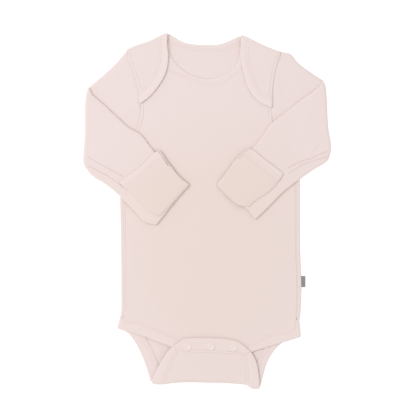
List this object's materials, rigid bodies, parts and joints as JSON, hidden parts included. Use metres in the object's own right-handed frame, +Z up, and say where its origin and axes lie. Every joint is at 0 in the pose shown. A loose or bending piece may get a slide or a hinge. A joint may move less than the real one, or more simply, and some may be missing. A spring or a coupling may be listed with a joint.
{
  "type": "baby bodysuit",
  "caption": "Infant long-sleeved bodysuit in knitted jersey, laid flat: lapped shoulders, fold-over mittens, bound leg openings and a snap crotch flap.",
  "frame": {"origin": "middle of the bounding box on the surface that the garment lies on", "axes": "+Z up from the surface, front of the garment uppermost; +Y towards the neck; +X towards the wearer's left sleeve, on the right as seen from above"},
  "size_m": [0.2748, 0.3952, 0.0087],
  "materials": {
    "jersey": "fine cotton jersey, pale pink, matt",
    "binding": "the same jersey, doubled over the edges and coverstitched",
    "snap": "pale pink enamelled ring caps, satin",
    "label": "grey woven ribbon"
  },
  "bodies": {
    "root": {"back_panel": "jersey", "front_panel": "jersey", "neck_binding_back": "binding", "neck_binding_front": "binding", "leg_binding_left": "binding", "leg_binding_right": "binding", "flap_placket": "binding", "sleeve_left": "jersey", "sleeve_right": "jersey", "mitten_left": "jersey", "mitten_right": "jersey", "mitten_hem_left": "binding", "mitten_hem_right": "binding", "snap_left": "snap", "snap_middle": "snap", "snap_right": "snap", "side_label": "label"}
  },
  "joints": []
}
